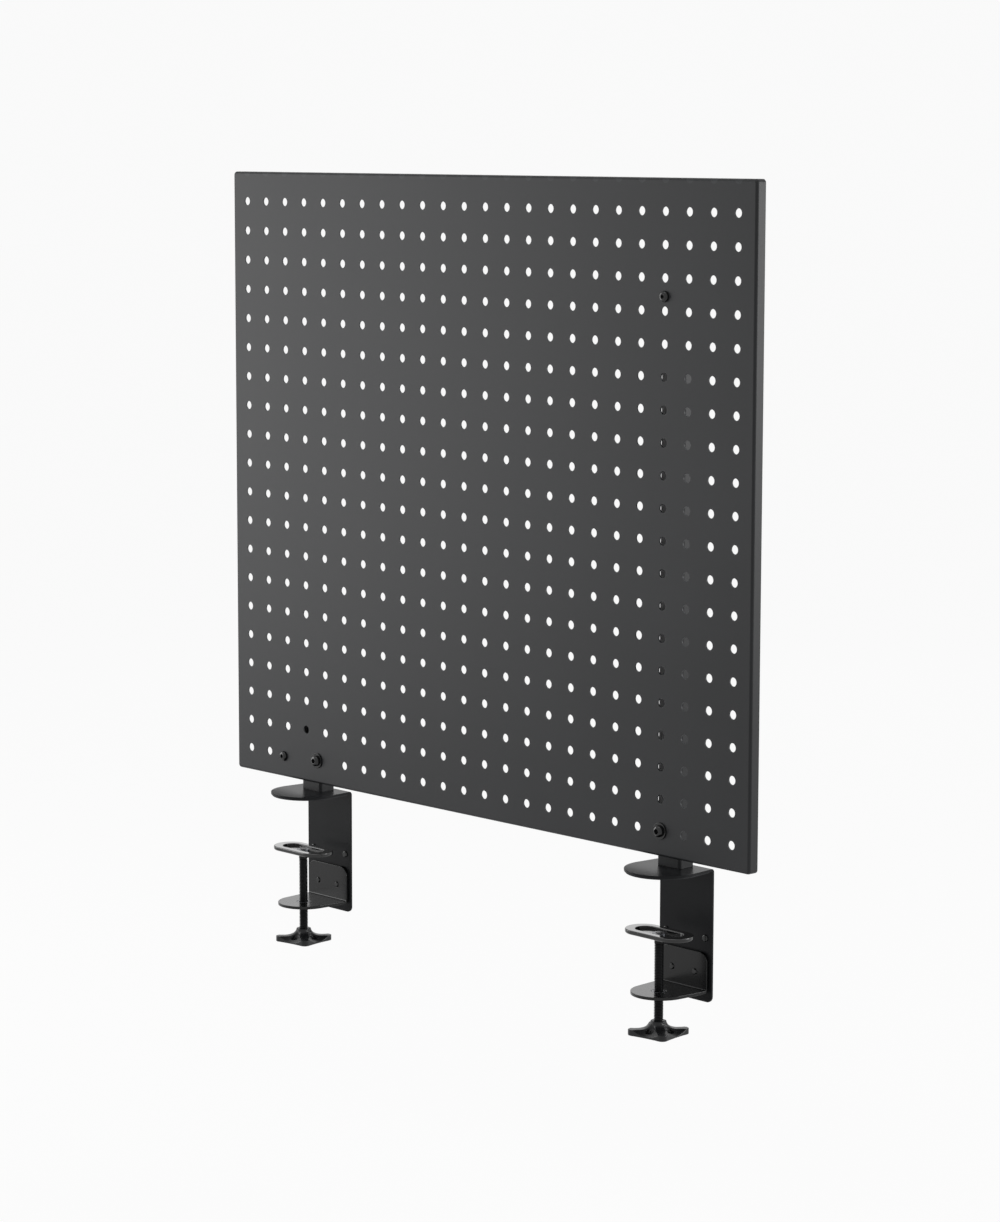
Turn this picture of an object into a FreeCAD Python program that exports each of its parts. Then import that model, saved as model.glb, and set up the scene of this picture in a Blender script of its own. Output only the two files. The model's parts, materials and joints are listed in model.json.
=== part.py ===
import FreeCAD, Part
import math
import os
import Sketcher

# Steel pegboard panel on two desk clamps, in millimetres, +Z up.
# Origin: on the panel's centre line, on the desk top (Z = 0) at the desk's rear
# edge (Y = 0, the front face of the clamps' back plates). The panel faces -Y.

Vector = FreeCAD.Vector
doc = FreeCAD.newDocument("PegboardDeskOrganizer")

drivingSizes = {
    # panel
    "holePitch": 25.4,
    "holeColumns": 24,
    "holeRows": 20,
    "holeDiameter": 7.2,
    "sideMargin": 19.0,
    "topMargin": 25.5,
    "bottomMargin": 20.4,
    "panelDepth": 9.5,
    "panelSheet": 1.2,
    "panelInnerBend": 1.0,
    "panelInnerCorner": 1.8,
    "panelLift": 13.0,
    "panelSetback": 30.0,
    "blankEachSide": 1,
    # clamp frames
    "clampColumn": 3,
    "clampWidth": 57.0,
    "clampPlate": 2.0,
    "clampDrop": 105.0,
    "clampInnerBend": 1.0,
    "plateCorner": 5.0,
    "leftClampOutset": 5.0,
    "jawReach": 57.0,
    "jawRadius": 31.0,
    "jawPadThickness": 1.2,
    "jawPadInset": 1.0,
    "sideHoleSpacing": 43.0,
    "sideHoleDiameter": 4.5,
    "rivetHead": 5.6,
    "rivetRise": 1.2,
    # uprights
    "uprightWidth": 25.4,
    "uprightDepth": 15.0,
    "uprightSheet": 2.0,
    "uprightInnerBend": 0.6,
    "leftUprightHeight": 56.8,
    "tongueLength": 59.0,
    "legDrop": 10.0,
    "legTaper": 14.0,
    "tongueWidth": 12.0,
    "tongueFlat": 2.0,
    "tongueLip": 8.0,
    "footNotchLength": 9.0,
    "footNotchHeight": 5.5,
    # head plate on the left upright
    "headPlate": 2.5,
    "headWidth": 76.0,
    "headLower": 13.5,
    "headUpper": 13.0,
    "headNeckWidth": 24.0,
    "headShoulder": 6.0,
    "headRise": 29.0,
    "headCorner": 2.5,
    # fasteners through the panel
    "boltDiameter": 6.0,
    "boltHeadDiameter": 9.6,
    "boltHeadHeight": 3.3,
    "boltSocket": 4.0,
    "washerDiameter": 13.4,
    "washerThickness": 1.2,
    "spacerDiameter": 12.0,
    "screwDiameter": 5.0,
    "screwHeadDiameter": 8.8,
    "screwHeadHeight": 2.7,
    "screwSocket": 3.0,
    "shankClearance": 0.3,
    "domeShare": 0.8,
    "socketShare": 0.65,
    "tipChamfer": 0.6,
    "boltNutFlats": 10.0,
    "boltNutHeight": 5.0,
    "screwNutFlats": 8.0,
    "screwNutHeight": 4.0,
    "threadOut": 1.5,
    "screwTipOut": 0.8,
    "leftBoltShift": 19.5,
    "leftScrewInset": 12.2,
    "leftScrewSink": 2.0,
    "topScrewRow": 2.56,
    # lower brackets
    "bracketWidth": 52.0,
    "bracketPlate": 2.5,
    "bracketInnerBend": 1.0,
    "shelfDepth": 95.0,
    "shelfReach": 52.0,
    "shelfRadius": 23.5,
    "tabHeight": 30.0,
    "tabCorner": 8.0,
    "bracketHoleSpacing": 25.0,
    "bracketHoleHeight": 13.3,
    "sideHoleHeight": 41.5,
    # clamp screws
    "screwOffset": 30.0,
    "rodDiameter": 7.6,
    "runningClearance": 0.05,
    "insertDiameter": 12.0,
    "insertFlange": 1.0,
    "insertFlangeDiameter": 13.6,
    "journalDiameter": 6.0,
    "thrustGap": 0.1,
    "clipDiameter": 11.0,
    "clipThickness": 1.0,
    "washerSeat": 2.0,
    "washerSeatDiameter": 15.0,
    # pressure plates
    "deskGap": 47.0,
    "pressLength": 64.0,
    "pressWidth": 30.0,
    "pressThickness": 3.6,
    "pressUnderRound": 1.4,
    "pressRimRound": 0.8,
    "recessLength": 46.0,
    "recessWidth": 17.0,
    "recessDepth": 2.2,
    # knobs
    "knobBottom": 130.2,
    "knobAcross": 37.0,
    "knobLobe": 4.5,
    "knobRim": 4.8,
    "knobWaist": 0.8,
    "knobSweep": 40.0,
    "hubDiameter": 13.0,
    "hubHeight": 13.0,
    "knobTurn": 8.0,
    "pocketReach": 10.5,
    "pocketDiameter": 7.0,
    "pocketFloor": 2.5,
    "rodSeat": 10.0,
}

# What follows from the driving sizes, as sheet formulas.
layoutFormulas = {
    "panelFold": "=Sizes.panelSheet + Sizes.panelInnerBend",
    "panelCorner": "=Sizes.panelSheet + Sizes.panelInnerCorner",
    "clampFold": "=Sizes.clampPlate + Sizes.clampInnerBend",
    "uprightFold": "=Sizes.uprightSheet + Sizes.uprightInnerBend",
    "bracketFold": "=Sizes.bracketPlate + Sizes.bracketInnerBend",
    "panelWidth": "=(Sizes.holeColumns - 1) * Sizes.holePitch + 2 * Sizes.sideMargin",
    "panelHeight": "=(Sizes.holeRows - 1) * Sizes.holePitch + Sizes.topMargin + Sizes.bottomMargin",
    "firstColumnX": "=-(Sizes.holeColumns - 1) * Sizes.holePitch / 2",
    "bottomRowZ": "=Sizes.panelLift + Sizes.bottomMargin",
    "topRowZ": "=bottomRowZ + (Sizes.holeRows - 1) * Sizes.holePitch",
    "clampX": "=-firstColumnX - Sizes.clampColumn * Sizes.holePitch",
    "leftClampX": "=-clampX - Sizes.leftClampOutset",
    "leftBoltX": "=leftClampX + Sizes.leftBoltShift",
    "leftScrewX": "=leftClampX - Sizes.headWidth / 2 + Sizes.leftScrewInset",
    "panelBackY": "=-Sizes.panelSetback + Sizes.panelSheet",
    "uprightY": "=-Sizes.panelSetback + Sizes.panelDepth",
    "jawTopZ": "=Sizes.jawPadThickness + Sizes.clampPlate",
    "shelfZ": "=-Sizes.shelfDepth",
    "bracketHoleZ": "=shelfZ + Sizes.bracketHoleHeight",
    "sideHoleZ": "=shelfZ + Sizes.sideHoleHeight",
    "topScrewZ": "=topRowZ - Sizes.topScrewRow * Sizes.holePitch",
    "tongueTopZ": "=topScrewZ + Sizes.tongueLip",
    "channelTopZ": "=tongueTopZ - Sizes.tongueLength",
    "blankFirst": "=Sizes.clampColumn - Sizes.blankEachSide",
    "blankCount": "=2 * Sizes.blankEachSide + 1",
    "pressBottomZ": "=-Sizes.deskGap - Sizes.pressThickness",
    "recessFloorZ": "=-Sizes.deskGap - Sizes.recessDepth",
    "hubTopZ": "=-Sizes.knobBottom + Sizes.hubHeight",
}


def makeSheet(name, cells):
    sheet = doc.addObject("Spreadsheet::Sheet", name)
    for row, (alias, content) in enumerate(cells.items(), start=1):
        sheet.set("A%d" % row, alias)
        sheet.setAlias("B%d" % row, alias)
        sheet.set("B%d" % row, str(content))
    return sheet

sizeSheet = makeSheet("Sizes", drivingSizes)
doc.recompute()
layoutSheet = makeSheet("Layout", layoutFormulas)
doc.recompute()

nodes = []      # the sub-parts that are written out, in order
nearZero = 1e-9


def originItem(body, role):
    return [item for item in body.Origin.OriginFeatures if item.Role == role][0]


def makeBody(name, place=("0", "0", "0"), isNode=True, turned=False):
    """A body whose Placement follows three expressions; turned faces it rearward."""
    body = doc.addObject("PartDesign::Body", name)
    body.Label = name
    if turned:
        body.Placement = FreeCAD.Placement(Vector(), FreeCAD.Rotation(Vector(0, 0, 1), 180))
    for axis, expression in zip("xyz", place):
        body.setExpression(".Placement.Base." + axis, expression)
    if isNode:
        nodes.append(body)
    return body


def makeSketch(body, name, role, offset=None):
    """A sketch on one of the body's origin planes; XZ_Plane looks along +Y, so
    its offset is minus the Y that the sketch lies at."""
    sketch = body.newObject("Sketcher::SketchObject", body.Name + "_" + name)
    sketch.AttachmentSupport = (originItem(body, role), [""])
    sketch.MapMode = "FlatFace"
    if offset is not None:
        sketch.setExpression("AttachmentOffset.Base.z", offset)
    return sketch


def numbers(sketch, expressions):
    return [float(sketch.evalExpression(text)) for text in expressions]


def pinPoint(sketch, element, end, point):
    """Ties one end (or centre) of an element to a pair of expressions."""
    for kind, axis, text in (("DistanceX", -2, point[0]), ("DistanceY", -1, point[1])):
        value = float(sketch.evalExpression(text))
        if abs(value) < nearZero:
            sketch.addConstraint(Sketcher.Constraint("PointOnObject", element, end, axis))
            continue
        tie = sketch.addConstraint(Sketcher.Constraint(kind, -1, 1, element, end, value))
        sketch.setExpression("Constraints[%d]" % tie, text)


def tieRadius(sketch, element, text):
    value = float(sketch.evalExpression(text))
    tie = sketch.addConstraint(Sketcher.Constraint("Radius", element, value))
    sketch.setExpression("Constraints[%d]" % tie, text)


def polygon(sketch, points, arcs=None):
    """A closed outline through points given as expressions. With arcs it runs
    counter-clockwise: arcs maps a side's number to the radius it bulges out with."""
    arcs = arcs or {}
    corners = [Vector(*numbers(sketch, point), 0) for point in points]
    first = sketch.GeometryCount
    for i, start in enumerate(corners):
        stop = corners[(i + 1) % len(corners)]
        if i in arcs:
            sketch.addGeometry(bulge(start, stop, float(sketch.evalExpression(arcs[i]))))
        else:
            sketch.addGeometry(Part.LineSegment(start, stop))
    for i, point in enumerate(points):
        previous = first + (i - 1) % len(points)
        sketch.addConstraint(Sketcher.Constraint("Coincident", previous, 2, first + i, 1))
        pinPoint(sketch, first + i, 1, point)
        if i in arcs:
            tieRadius(sketch, first + i, arcs[i])


def bulge(start, stop, radius):
    """The short arc from start to stop whose centre is on the left."""
    chord = stop - start
    rise = math.sqrt(radius ** 2 - (chord.Length / 2) ** 2)
    centre = (start + stop) / 2 + Vector(-chord.y, chord.x, 0).normalize() * rise
    first, last = (math.atan2(end.y - centre.y, end.x - centre.x) for end in (start, stop))
    if last < first:
        last += 2 * math.pi
    return Part.ArcOfCircle(Part.Circle(centre, Vector(0, 0, 1), radius), first, last)


def circle(sketch, point, radius):
    x, y = numbers(sketch, point)
    size = float(sketch.evalExpression(radius))
    element = sketch.addGeometry(Part.Circle(Vector(x, y, 0), Vector(0, 0, 1), size))
    pinPoint(sketch, element, 3, point)
    tieRadius(sketch, element, radius)


def hexagon(sketch, acrossFlats):
    corner = "(%s) / 2 / cos(30 deg)" % acrossFlats
    polygon(sketch, [("%s * cos(%d deg)" % (corner, turn), "%s * sin(%d deg)" % (corner, turn))
                     for turn in range(0, 360, 60)])


def tongueOutline(sketch, halfWidth, backY, noseY, radius):
    """A plate outline that runs forward from backY and ends in a round nose."""
    half, back, nose, size = numbers(sketch, (halfWidth, backY, noseY, radius))
    centre = Vector(0, nose, 0)
    right = sketch.addGeometry(Part.LineSegment(Vector(half, back, 0), Vector(size, nose, 0)))
    arc = sketch.addGeometry(Part.ArcOfCircle(
        Part.Circle(centre, Vector(0, 0, 1), size), math.pi, 2 * math.pi))
    left = sketch.addGeometry(Part.LineSegment(Vector(-size, nose, 0), Vector(-half, back, 0)))
    rear = sketch.addGeometry(Part.LineSegment(Vector(-half, back, 0), Vector(half, back, 0)))
    sketch.addConstraint(Sketcher.Constraint("Tangent", right, 2, arc, 2))
    sketch.addConstraint(Sketcher.Constraint("Tangent", left, 1, arc, 1))
    sketch.addConstraint(Sketcher.Constraint("Coincident", left, 2, rear, 1))
    sketch.addConstraint(Sketcher.Constraint("Coincident", rear, 2, right, 1))
    pinPoint(sketch, right, 1, (halfWidth, backY))
    pinPoint(sketch, rear, 1, ("-(%s)" % halfWidth, backY))
    pinPoint(sketch, arc, 3, ("0", noseY))
    tieRadius(sketch, arc, radius)


def stadium(sketch, length, width):
    """A slot shape along X, centred on the sketch's origin."""
    long, wide = numbers(sketch, (length, width))
    size = wide / 2
    reach = long / 2 - size
    up = Vector(0, 0, 1)
    right = sketch.addGeometry(Part.ArcOfCircle(
        Part.Circle(Vector(reach, 0, 0), up, size), -math.pi / 2, math.pi / 2))
    left = sketch.addGeometry(Part.ArcOfCircle(
        Part.Circle(Vector(-reach, 0, 0), up, size), math.pi / 2, 3 * math.pi / 2))
    top = sketch.addGeometry(Part.LineSegment(Vector(reach, size, 0), Vector(-reach, size, 0)))
    low = sketch.addGeometry(Part.LineSegment(Vector(-reach, -size, 0), Vector(reach, -size, 0)))
    for one, oneEnd, other, otherEnd in ((right, 2, top, 1), (top, 2, left, 1),
                                         (left, 2, low, 1), (low, 2, right, 1)):
        sketch.addConstraint(Sketcher.Constraint("Tangent", one, oneEnd, other, otherEnd))
    centre = "((%s) - (%s)) / 2" % (length, width)
    pinPoint(sketch, right, 3, (centre, "0"))
    pinPoint(sketch, left, 3, ("-" + centre, "0"))
    sketch.addConstraint(Sketcher.Constraint("Equal", right, left))
    tieRadius(sketch, right, "(%s) / 2" % width)


def pad(body, sketch, length, midplane=False, reverse=False):
    feature = body.newObject("PartDesign::Pad", sketch.Name + "_pad")
    feature.Profile = sketch
    feature.setExpression("Length", length)
    feature.Midplane = midplane
    feature.Reversed = reverse
    doc.recompute()
    return feature


def pocket(body, sketch, depth=None, reverse=False):
    """A cut to a depth, or both ways through everything; it has to remove metal."""
    before = body.Shape.Volume
    feature = body.newObject("PartDesign::Pocket", sketch.Name + "_pocket")
    feature.Profile = sketch
    if depth is None:
        feature.Type = 1
        feature.Midplane = True
    else:
        feature.setExpression("Length", depth)
        feature.Reversed = reverse
    doc.recompute()
    if not body.Shape.Volume < before - nearZero:
        raise RuntimeError(feature.Name + " cuts nothing")
    return feature


def revolve(body, sketch, cut=False):
    """Turns a profile about the sketch's own vertical axis."""
    kind = "PartDesign::Groove" if cut else "PartDesign::Revolution"
    feature = body.newObject(kind, sketch.Name + "_turned")
    feature.Profile = sketch
    feature.ReferenceAxis = (sketch, ["V_Axis"])
    feature.Angle = 360
    doc.recompute()
    return feature


def fillet(body, radius, chosen, name="fillet"):
    """Rounds the edges that chosen(boundBox of the edge, edge) picks."""
    base = body.Tip
    edges = ["Edge%d" % (i + 1) for i, edge in enumerate(base.Shape.Edges)
             if chosen(edge.BoundBox, edge)]
    if not edges:
        raise RuntimeError(body.Name + " has no edge for " + name)
    feature = body.newObject("PartDesign::Fillet", body.Name + "_" + name)
    feature.Base = (base, edges)
    feature.setExpression("Radius", radius)
    doc.recompute()
    return feature


def linear(name, role, length, count, body):
    feature = body.newObject("PartDesign::LinearPattern", name)
    feature.Direction = (originItem(body, role), [""])
    feature.setExpression("Length", length)
    feature.setExpression("Occurrences", count)
    return feature


def close(one, other, slack=0.01):
    return abs(one - other) < slack


def sizeOf(name):
    sheet = sizeSheet if name in drivingSizes else layoutSheet
    return float(sheet.get(name))


def ring(name, outer, inner, length, place, alongY=False, isNode=True):
    """A washer, spacer or collar: two cylinders, one cut from the other."""
    solids = []
    for tag, diameter in (("outside", outer), ("bore", inner)):
        cylinder = doc.addObject("Part::Cylinder", name + "_" + tag)
        cylinder.setExpression("Radius", "(%s) / 2" % diameter)
        cylinder.setExpression("Height", length)
        solids.append(cylinder)
    cut = doc.addObject("Part::Cut", name)
    cut.Base, cut.Tool = solids
    cut.Label = name
    if alongY:
        cut.Placement = FreeCAD.Placement(Vector(), FreeCAD.Rotation(Vector(1, 0, 0), -90))
    for axis, expression in zip("xyz", place):
        cut.setExpression(".Placement.Base." + axis, expression)
    if isNode:
        nodes.append(cut)
    return cut


def screw(name, head, headHeight, shank, shankLength, socket, place, isNode=True,
          fromBehind=False):
    """A button-head screw that runs along +Y, or from behind along -Y, with its
    under-head plane at the placement."""
    body = makeBody(name, place, isNode, turned=fromBehind)
    profile = makeSketch(body, "profile", "XY_Plane")
    tip = "Sizes.tipChamfer"
    polygon(profile, [
        ("0", "-(%s)" % headHeight), ("(%s) / 2" % head, "-(%s)" % headHeight),
        ("(%s) / 2" % head, "0"), ("(%s) / 2" % shank, "0"),
        ("(%s) / 2" % shank, "(%s) - %s" % (shankLength, tip)),
        ("(%s) / 2 - %s" % (shank, tip), shankLength), ("0", shankLength)])
    revolve(body, profile)
    headSize, height = numbers(profile, (head, headHeight))
    fillet(body, "(%s) * Sizes.domeShare" % headHeight,
           lambda box, edge: close(box.YMin, -height) and close(box.YMax, -height)
           and close(box.XLength, headSize), "dome")
    key = makeSketch(body, "socket", "XZ_Plane", headHeight)
    hexagon(key, socket)
    pocket(body, key, "(%s) * Sizes.socketShare" % headHeight)
    return body


def nut(name, flats, height, bore, place, isNode=True):
    """A hexagon nut that reaches from its placement along +Y."""
    body = makeBody(name, place, isNode)
    section = makeSketch(body, "section", "XZ_Plane")
    hexagon(section, flats)
    circle(section, ("0", "0"), "(%s) / 2 + Sizes.runningClearance" % bore)
    pad(body, section, height, reverse=True)
    return body


def pair(name, makeOne, half):
    """Two like fasteners, left and right of a clamp's middle, as one node."""
    both = [makeOne("%s_%s" % (name, tag), "%s%s" % (sign, half))
            for tag, sign in (("a", "-"), ("b", ""))]
    group = doc.addObject("Part::Compound", name)
    group.Links = both
    group.Label = name
    nodes.append(group)


def pegboardPanel():
    """A shallow steel pan: rounded face, four flanges, a grid of peg holes."""
    body = makeBody("pegboard_panel")
    outline = makeSketch(body, "outline", "XZ_Plane", "Sizes.panelSetback")
    left, right = "-Layout.panelWidth / 2", "Layout.panelWidth / 2"
    low, high = "Sizes.panelLift", "Sizes.panelLift + Layout.panelHeight"
    polygon(outline, [(left, low), (right, low), (right, high), (left, high)])
    pad(body, outline, "Sizes.panelDepth", reverse=True)
    depth = sizeOf("panelDepth")
    face = -sizeOf("panelSetback")
    fillet(body, "Layout.panelCorner", lambda box, edge: close(box.YLength, depth), "corners")
    fillet(body, "Layout.panelFold",
           lambda box, edge: close(box.YMin, face) and close(box.YMax, face), "bend")

    bend = body.Tip
    shell = body.newObject("PartDesign::Thickness", "panel_shell")
    shell.Base = (bend, ["Face%d" % (i + 1) for i, part in enumerate(bend.Shape.Faces)
                         if close(part.BoundBox.YMin, face + depth)])
    shell.setExpression("Value", "Sizes.panelSheet")
    shell.Reversed = True
    doc.recompute()

    # screw holes that are not on the grid
    holes = makeSketch(body, "screw_holes", "XZ_Plane")
    bolt = "Sizes.boltDiameter / 2 + Sizes.shankClearance"
    small = "Sizes.screwDiameter / 2 + Sizes.shankClearance"
    circle(holes, ("Layout.leftBoltX", "Layout.bottomRowZ"), bolt)
    circle(holes, ("Layout.leftScrewX", "Layout.bottomRowZ - Sizes.leftScrewSink"), small)
    circle(holes, ("Layout.clampX", "Layout.topScrewZ"), small)
    pocket(body, holes)

    # the bottom row leaves the places over the left bracket unpunched
    rows = (("low_left", "0", "Layout.blankFirst"),
            ("low_right", "Layout.blankFirst + Layout.blankCount",
             "Sizes.holeColumns - Layout.blankFirst - Layout.blankCount"))
    radius = "Sizes.holeDiameter / 2"
    for tag, start, count in rows:
        peg = makeSketch(body, tag, "XZ_Plane")
        circle(peg, ("Layout.firstColumnX + (%s) * Sizes.holePitch" % start,
                     "Layout.bottomRowZ"), radius)
        punched = pocket(body, peg)
        pattern = linear(tag + "_pattern", "YZ_Plane",
                         "(%s - 1) * Sizes.holePitch" % count, count, body)
        pattern.Originals = [punched]
        body.Tip = pattern
        doc.recompute()

    peg = makeSketch(body, "peg", "XZ_Plane")
    circle(peg, ("Layout.firstColumnX", "Layout.bottomRowZ + Sizes.holePitch"), radius)
    punched = pocket(body, peg)
    grid = body.newObject("PartDesign::MultiTransform", "peg_grid")
    grid.Originals = [punched]
    across = linear("peg_columns", "YZ_Plane",
                    "(Sizes.holeColumns - 1) * Sizes.holePitch", "Sizes.holeColumns", body)
    upward = linear("peg_rows", "XY_Plane",
                    "(Sizes.holeRows - 2) * Sizes.holePitch", "Sizes.holeRows - 1", body)
    grid.Transformations = [across, upward]
    body.Tip = grid
    doc.recompute()


def clampFrame(side, x):
    """Back plate and half-round top jaw, one strip folded along the desk edge."""
    body = makeBody(side + "_clamp_frame", (x, "0", "0"))
    strip = makeSketch(body, "strip", "YZ_Plane")
    thick, drop = "Sizes.clampPlate", "-Sizes.clampDrop"
    under, top = "Sizes.jawPadThickness", "Layout.jawTopZ"
    polygon(strip, [("0", drop), (thick, drop), (thick, top), ("-Sizes.jawReach", top),
                    ("-Sizes.jawReach", under), ("0", under)])
    pad(body, strip, "2 * Sizes.jawRadius", midplane=True)
    width = 2 * sizeOf("jawRadius")
    fold = (sizeOf("clampPlate"), sizeOf("jawTopZ"))
    fillet(body, "Layout.clampFold", lambda box, edge: close(box.XLength, width)
           and close(box.YMin, fold[0]) and close(box.ZMin, fold[1]), "fold")
    inner = sizeOf("jawPadThickness")
    fillet(body, "Sizes.clampInnerBend", lambda box, edge: close(box.XLength, width)
           and close(box.YMin, 0) and close(box.ZMin, inner), "fold_inside")

    trim = makeSketch(body, "trim", "XY_Plane")
    half = "Sizes.clampWidth / 2"
    spare = "2 * Sizes.jawRadius"
    polygon(trim, [("-" + spare, "-2 * Sizes.jawReach"), (spare, "-2 * Sizes.jawReach"),
                   (spare, "2 * Sizes.clampPlate"), ("-" + spare, "2 * Sizes.clampPlate")])
    tongueOutline(trim, half, thick + " + Sizes.clampPlate / 2",
                  "Sizes.jawRadius - Sizes.jawReach", "Sizes.jawRadius")
    pocket(body, trim)

    bottom = -sizeOf("clampDrop")
    thickness = sizeOf("clampPlate")
    fillet(body, "Sizes.plateCorner", lambda box, edge: close(box.YLength, thickness)
           and close(box.ZMin, bottom) and close(box.ZMax, bottom), "feet")

    holes = makeSketch(body, "holes", "XZ_Plane")
    for sign in ("-", ""):
        circle(holes, (sign + "Sizes.bracketHoleSpacing / 2", "Layout.bracketHoleZ"),
               "Sizes.screwDiameter / 2 + Sizes.shankClearance")
        circle(holes, (sign + "Sizes.sideHoleSpacing / 2", "Layout.sideHoleZ"),
               "Sizes.sideHoleDiameter / 2")
    pocket(body, holes)


def jawPad(side, x):
    """The rubber under the top jaw, a little inside its outline."""
    body = makeBody(side + "_jaw_pad", (x, "0", "0"))
    plan = makeSketch(body, "plan", "XY_Plane")
    tongueOutline(plan, "Sizes.clampWidth / 2 - Sizes.jawPadInset", "-2 * Sizes.jawPadInset",
                  "Sizes.jawRadius - Sizes.jawReach", "Sizes.jawRadius - Sizes.jawPadInset")
    pad(body, plan, "Sizes.jawPadThickness")


def upright(side, x):
    """The channel that stands on the jaw behind the panel, web to the front."""
    body = makeBody(side + "_upright", (x, "Layout.uprightY", "Layout.jawTopZ"))
    section = makeSketch(body, "section", "XY_Plane")
    half, wall, depth = "Sizes.uprightWidth / 2", "Sizes.uprightSheet", "Sizes.uprightDepth"
    leg = "%s - %s" % (half, wall)
    polygon(section, [("-" + half, depth), ("-" + half, "0"), (half, "0"), (half, depth),
                      (leg, depth), (leg, wall), ("-(%s)" % leg, wall),
                      ("-(%s)" % leg, depth)])
    tall = side == "right"
    height = "Layout.tongueTopZ - Layout.jawTopZ" if tall else "Sizes.leftUprightHeight"
    pad(body, section, height)
    full, edgeX, legX = numbers(section, (height, half, leg))
    sheet = sizeOf("uprightSheet")
    fillet(body, "Layout.uprightFold", lambda box, edge: close(box.ZLength, full)
           and close(abs(box.XMin), edgeX) and close(box.YMax, 0), "bends")
    fillet(body, "Sizes.uprightInnerBend", lambda box, edge: close(box.ZLength, full)
           and close(abs(box.XMin), legX) and close(box.YMax, sheet), "bends_inside")

    notch = makeSketch(body, "foot_notch", "YZ_Plane")
    start = "Layout.uprightFold"
    stop = "Layout.uprightFold + Sizes.footNotchLength"
    polygon(notch, [(start, "0"), (stop, "0"), (stop, "Sizes.footNotchHeight"),
                    (start, "Sizes.footNotchHeight")])
    pocket(body, notch)

    crown = makeSketch(body, "crown", "XZ_Plane" if tall else "YZ_Plane")
    if tall:
        # above the channel only a narrow tongue goes on to the upper screw
        low, high = "Layout.channelTopZ - Layout.jawTopZ", height + " + Sizes.uprightSheet"
        for sign in ("", "-"):
            near, far = sign + "Sizes.tongueWidth / 2", sign + "Sizes.uprightWidth"
            polygon(crown, [(near, low), (far, low), (far, high), (near, high)])
    else:
        # the legs stop short of the web and slope away to the rear
        front, rear = "Layout.uprightFold", "Sizes.uprightDepth + Sizes.uprightSheet"
        high = height + " + Sizes.uprightSheet"
        polygon(crown, [(front, high), (front, height + " - Sizes.legDrop"),
                        (rear, height + " - Sizes.legDrop - Sizes.legTaper"), (rear, high)])
    pocket(body, crown)
    if tall:
        top = sizeOf("tongueTopZ") - sizeOf("jawTopZ")
        fillet(body, "(Sizes.tongueWidth - Sizes.tongueFlat) / 2",
               lambda box, edge: close(box.YLength, sheet) and close(box.ZMin, top)
               and close(box.ZMax, top), "tongue")
        holes = makeSketch(body, "holes", "XZ_Plane")
        circle(holes, ("0", "Layout.bottomRowZ - Layout.jawTopZ"),
               "Sizes.boltDiameter / 2 + Sizes.shankClearance")
        circle(holes, ("0", "Layout.topScrewZ - Layout.jawTopZ"),
               "Sizes.screwDiameter / 2 + Sizes.shankClearance")
        pocket(body, holes)


def headPlate(x):
    """The stepped plate welded across the left upright, which takes both screws."""
    body = makeBody("left_head_plate",
                    (x, "Layout.uprightY - Sizes.headPlate", "Layout.bottomRowZ"))
    plan = makeSketch(body, "plan", "XZ_Plane")
    wide, neck = "Sizes.headWidth / 2", "Sizes.headNeckWidth / 2"
    low, high = "-Sizes.headLower", "Sizes.headUpper"
    shoulder, top = "Sizes.headUpper + Sizes.headShoulder", "Sizes.headRise"
    polygon(plan, [("-" + wide, low), (wide, low), (wide, high), (neck, shoulder), (neck, top),
                   ("-" + neck, top), ("-" + neck, shoulder), ("-" + wide, high)])
    pad(body, plan, "Sizes.headPlate", reverse=True)
    thickness = sizeOf("headPlate")
    fillet(body, "Sizes.headCorner", lambda box, edge: close(box.YLength, thickness), "corners")
    holes = makeSketch(body, "holes", "XZ_Plane")
    circle(holes, ("Sizes.leftBoltShift", "0"),
           "Sizes.boltDiameter / 2 + Sizes.runningClearance")
    circle(holes, ("Sizes.leftScrewInset - Sizes.headWidth / 2", "-Sizes.leftScrewSink"),
           "Sizes.screwDiameter / 2 + Sizes.runningClearance")
    pocket(body, holes)


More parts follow.
